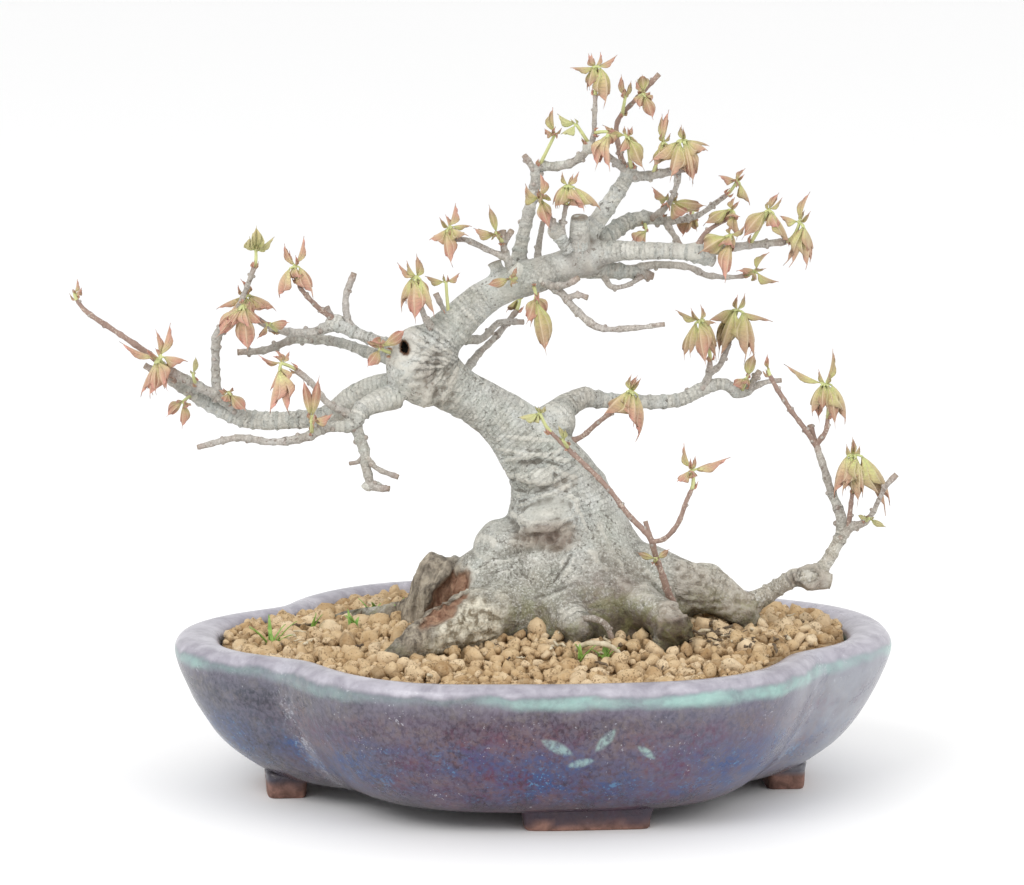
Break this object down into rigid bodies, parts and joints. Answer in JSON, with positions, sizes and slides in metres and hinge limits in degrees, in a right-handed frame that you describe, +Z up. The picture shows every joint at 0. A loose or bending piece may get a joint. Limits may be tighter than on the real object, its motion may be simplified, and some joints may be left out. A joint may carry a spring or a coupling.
{
  "type": "potted bonsai tree",
  "caption": "Trident maple bonsai with a thick tapering trunk, fine twigs and sprays of young three-lobed leaves, planted in a glazed quatrefoil pot filled with gritty soil.",
  "frame": {"origin": "under the middle of the whole piece's bounding box, on the surface that the pot's feet stand on", "axes": "+X to the right along the pot's long side as seen from the front, the front faces -Y, +Z up"},
  "size_m": [0.2394, 0.1658, 0.2147],
  "materials": {
    "glaze": "glossy mottled glaze",
    "screen": "matte",
    "soil": "dry and matte",
    "bark": "rough",
    "leaf": "satin",
    "grass": "satin"
  },
  "bodies": {
    "root": {"pot": "glaze", "drain_screen_left": "screen", "drain_screen_right": "screen", "soil": "soil", "wood": "bark", "spray_apex_left": "leaf", "spray_apex_left_twig": "leaf", "spray_apex_mid_stub": "leaf", "spray_apex_mid_bud": "leaf", "spray_apex_up_bud_low": "leaf", "spray_apex_up_bud_high": "leaf", "spray_apex_front_bud": "leaf", "spray_apex_arm_bud": "leaf", "spray_apex_right_arm": "leaf", "spray_right_upper": "leaf", "spray_right_upper_bud": "leaf", "spray_right_upper_low_bud": "leaf", "spray_right_upper_far_bud": "leaf", "spray_right_main_twig": "leaf", "spray_right_main_tip": "leaf", "spray_right_main": "leaf", "spray_right_main_bud": "leaf", "spray_right_lower_twig": "leaf", "spray_crown_front_side": "leaf", "spray_crown_front": "leaf", "spray_crown_left_bud": "leaf", "spray_crown_left_side": "leaf", "spray_elbow_front_bud": "leaf", "spray_elbow_bud": "leaf", "spray_crown_low_bud": "leaf", "spray_hanging_bud": "leaf", "spray_back_twig_low": "leaf", "spray_knot_bud": "leaf", "spray_upper_left_shoot": "leaf", "spray_left_post": "leaf", "spray_upper_left_front": "leaf", "spray_left_post_bud": "leaf", "spray_upper_left_bud": "leaf", "spray_left_front_twig": "leaf", "spray_left_front_bud": "leaf", "spray_left_whip": "leaf", "spray_left_upper": "leaf", "spray_left_under_bud": "leaf", "spray_left_mid_bud": "leaf", "spray_left_far_bud": "leaf", "spray_front_shoot": "leaf", "spray_front_mid_bud": "leaf", "spray_front_side": "leaf", "spray_front_bud": "leaf", "spray_collar_twig": "leaf", "spray_right_fork_near": "leaf", "spray_right_fork_far": "leaf", "spray_right_bud": "leaf", "spray_low_leaf_twig": "leaf", "spray_low_fork_mid": "leaf", "spray_low_fork_bud": "leaf", "spray_low_whip": "leaf", "tuft_left": "grass", "tuft_front": "grass"}
  },
  "joints": []
}
